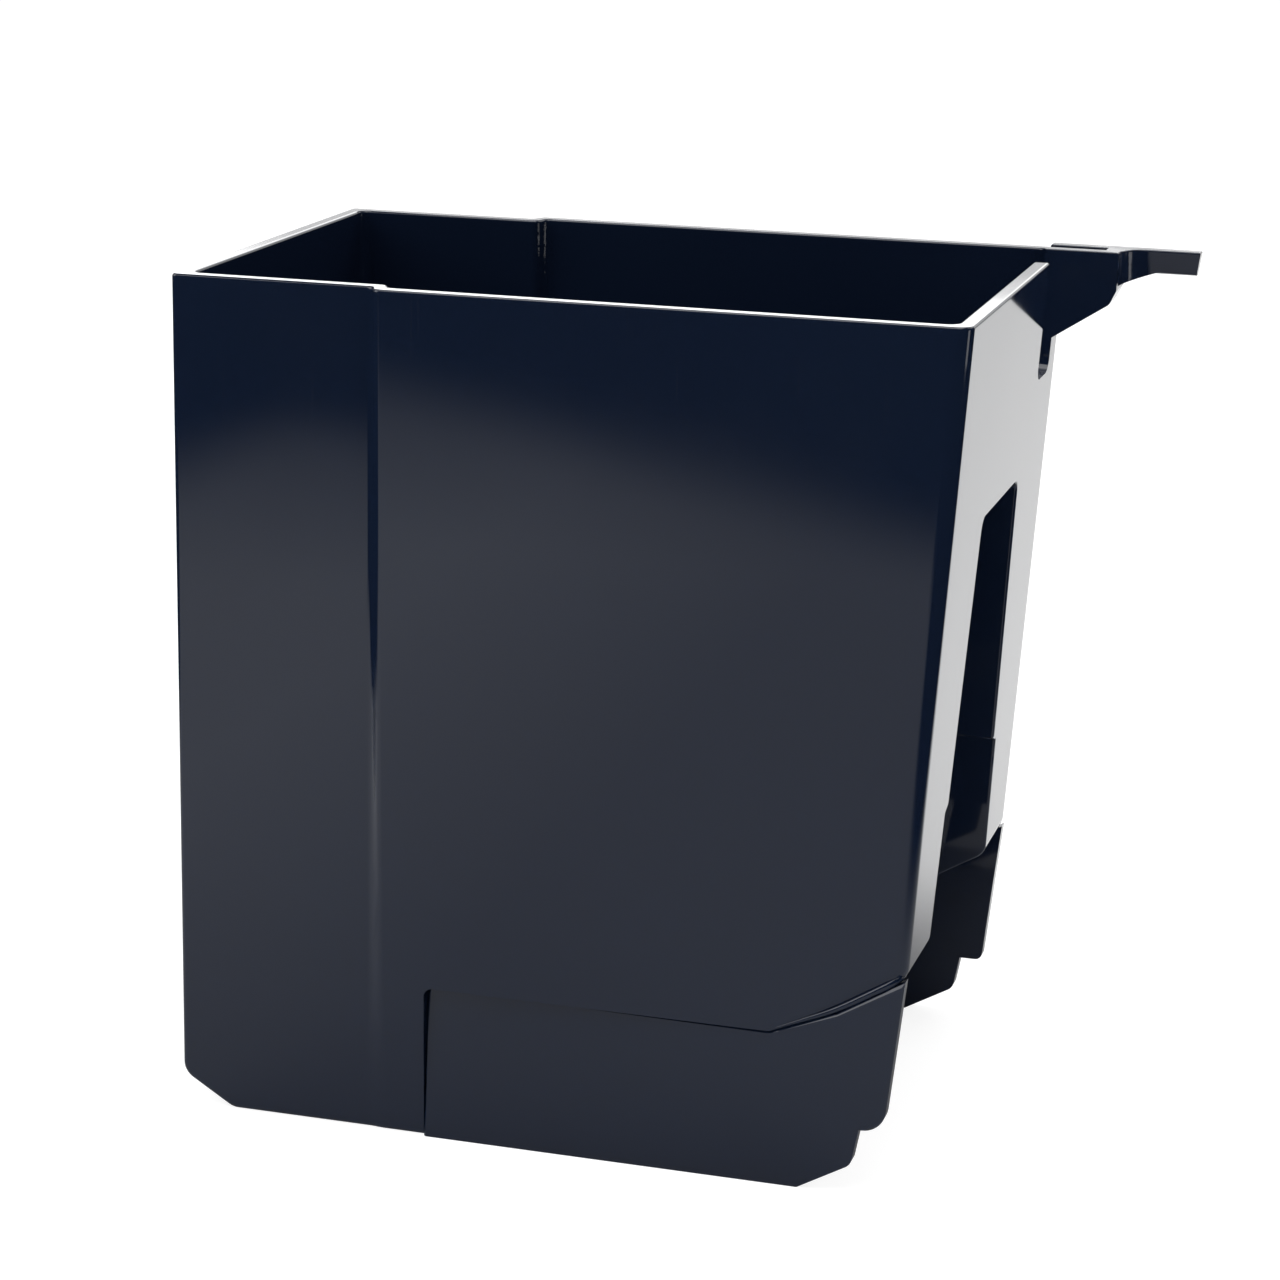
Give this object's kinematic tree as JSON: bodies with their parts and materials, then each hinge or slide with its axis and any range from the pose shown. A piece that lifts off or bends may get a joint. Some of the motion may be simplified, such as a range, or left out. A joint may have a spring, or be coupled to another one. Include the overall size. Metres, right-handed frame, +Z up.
{
  "type": "trash compactor bin",
  "caption": "Open-topped gloss black waste bin with a deep well, a raised floor on a base skirt, a scooped pocket in its leaning end wall and a corner arm ending in a finger tab.",
  "frame": {"origin": "middle of the overall outline at ground level, under the bin", "axes": "+X along the bin's length towards the leaning end wall and the tab, +Y towards the back wall that carries the arm, +Z up"},
  "size_m": [0.1647, 0.092, 0.1528],
  "materials": {
    "tub_plastic": "polished black moulding",
    "base_plastic": "polished black moulding",
    "arm_plastic": "polished black moulding"
  },
  "bodies": {
    "root": {"bin_tub": "tub_plastic", "base_skirt": "base_plastic", "corner_arm": "arm_plastic"}
  },
  "joints": []
}
